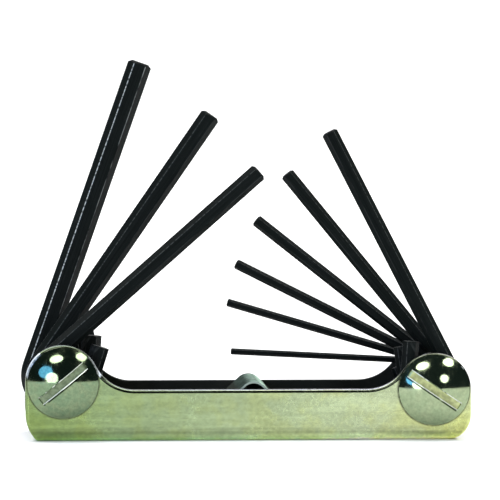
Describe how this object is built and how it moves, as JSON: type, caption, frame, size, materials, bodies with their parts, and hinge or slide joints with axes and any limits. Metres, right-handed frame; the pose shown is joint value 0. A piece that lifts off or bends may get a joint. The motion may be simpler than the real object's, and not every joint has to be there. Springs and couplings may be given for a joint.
{
  "type": "folding hex key set",
  "caption": "Folding hexagon-key set: graded hex keys swing out on clamped pivots from both ends of a folded steel channel handle.",
  "frame": {"origin": "on the underside of the handle, at the middle of its length and width", "axes": "+X along the handle towards the end with the six small keys, -Y towards the side with the slotted screws, +Z out of the open side of the channel"},
  "size_m": [0.0992, 0.0366, 0.0837],
  "materials": {
    "plated_sheet": "satin plated, faint yellow-green tint, fine mottle",
    "dull_sheet": "dull plated",
    "bright_plate": "mirror plated",
    "turned_steel": "turned, oiled",
    "black_oxide": "black oxide, fine scuffs, worn edges"
  },
  "bodies": {
    "handle": {"handle_channel": "plated_sheet", "key_rest": "dull_sheet", "left_pivot_screw": "bright_plate", "left_pivot_post": "bright_plate", "right_pivot_screw": "bright_plate", "right_pivot_post": "bright_plate", "left_spacer_1": "turned_steel", "left_spacer_2": "turned_steel", "left_spacer_3": "turned_steel", "left_spacer_4": "turned_steel", "right_spacer_1": "turned_steel", "right_spacer_2": "turned_steel", "right_spacer_3": "turned_steel"},
    "hex_key_1_8": {"hex_key_1_8": "black_oxide"},
    "hex_key_9_64": {"hex_key_9_64": "black_oxide"},
    "hex_key_7_64": {"hex_key_7_64": "black_oxide"},
    "hex_key_5_32": {"hex_key_5_32": "black_oxide"},
    "hex_key_3_32": {"hex_key_3_32": "black_oxide"},
    "hex_key_5_64": {"hex_key_5_64": "black_oxide"},
    "hex_key_3_16": {"hex_key_3_16": "black_oxide"},
    "hex_key_1_16": {"hex_key_1_16": "black_oxide"},
    "hex_key_050": {"hex_key_050": "black_oxide"}
  },
  "joints": [
    {"name": "hex_key_1_8_swing", "type": "hinge", "parent": "handle", "child": "hex_key_1_8", "pos_m": [0.0409, -0.01163, 0.0112], "axis": [0, 1, 0], "range_deg": [-65.4, 122.2]},
    {"name": "hex_key_9_64_swing", "type": "hinge", "parent": "handle", "child": "hex_key_9_64", "pos_m": [-0.04093, -0.00814, 0.01295], "axis": [0, -1, 0], "range_deg": [-46.3, 143.5]},
    {"name": "hex_key_7_64_swing", "type": "hinge", "parent": "handle", "child": "hex_key_7_64", "pos_m": [0.0409, -0.00484, 0.0112], "axis": [0, 1, 0], "range_deg": [-53.3, 134.3]},
    {"name": "hex_key_5_32_swing", "type": "hinge", "parent": "handle", "child": "hex_key_5_32", "pos_m": [-0.04093, -0.00135, 0.01295], "axis": [0, -1, 0], "range_deg": [-60.2, 129.6]},
    {"name": "hex_key_3_32_swing", "type": "hinge", "parent": "handle", "child": "hex_key_3_32", "pos_m": [0.0409, 0.00194, 0.0112], "axis": [0, 1, 0], "range_deg": [-40.9, 146.7]},
    {"name": "hex_key_5_64_swing", "type": "hinge", "parent": "handle", "child": "hex_key_5_64", "pos_m": [0.0409, 0.00425, 0.0112], "axis": [0, 1, 0], "range_deg": [-29.3, 158.3]},
    {"name": "hex_key_3_16_swing", "type": "hinge", "parent": "handle", "child": "hex_key_3_16", "pos_m": [-0.04093, 0.00774, 0.01295], "axis": [0, -1, 0], "range_deg": [-75.5, 114.3]},
    {"name": "hex_key_1_16_swing", "type": "hinge", "parent": "handle", "child": "hex_key_1_16", "pos_m": [0.0409, 0.01104, 0.0112], "axis": [0, 1, 0], "range_deg": [-19, 168.6]},
    {"name": "hex_key_050_swing", "type": "hinge", "parent": "handle", "child": "hex_key_050", "pos_m": [0.0409, 0.01259, 0.0112], "axis": [0, 1, 0], "range_deg": [-5.6, 182]}
  ]
}
